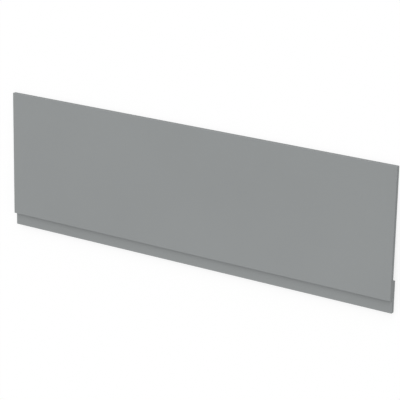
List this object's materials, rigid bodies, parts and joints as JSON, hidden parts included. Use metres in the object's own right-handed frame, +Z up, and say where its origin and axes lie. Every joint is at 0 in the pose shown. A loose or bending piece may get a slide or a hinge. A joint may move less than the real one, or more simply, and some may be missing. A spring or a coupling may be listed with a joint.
{
  "type": "bath panel",
  "caption": "Flat bath front panel of grey wrapped board, with a recessed plinth board screwed to its back that shows below its lower edge.",
  "frame": {"origin": "centre of the bounding box, on the floor that the panel lies on", "axes": "+X along the panel's length, +Y from its plinth towards its top edge, +Z up: the panel lies face up on its back, sloping down by about 2 degrees from its plinth to its top edge"},
  "size_m": [1.7, 0.5457, 0.0324],
  "materials": {
    "grey_board": "matt grey foil wrapped over MDF, with a white back"
  },
  "bodies": {
    "root": {"front_panel": "grey_board", "plinth": "grey_board"}
  },
  "joints": []
}
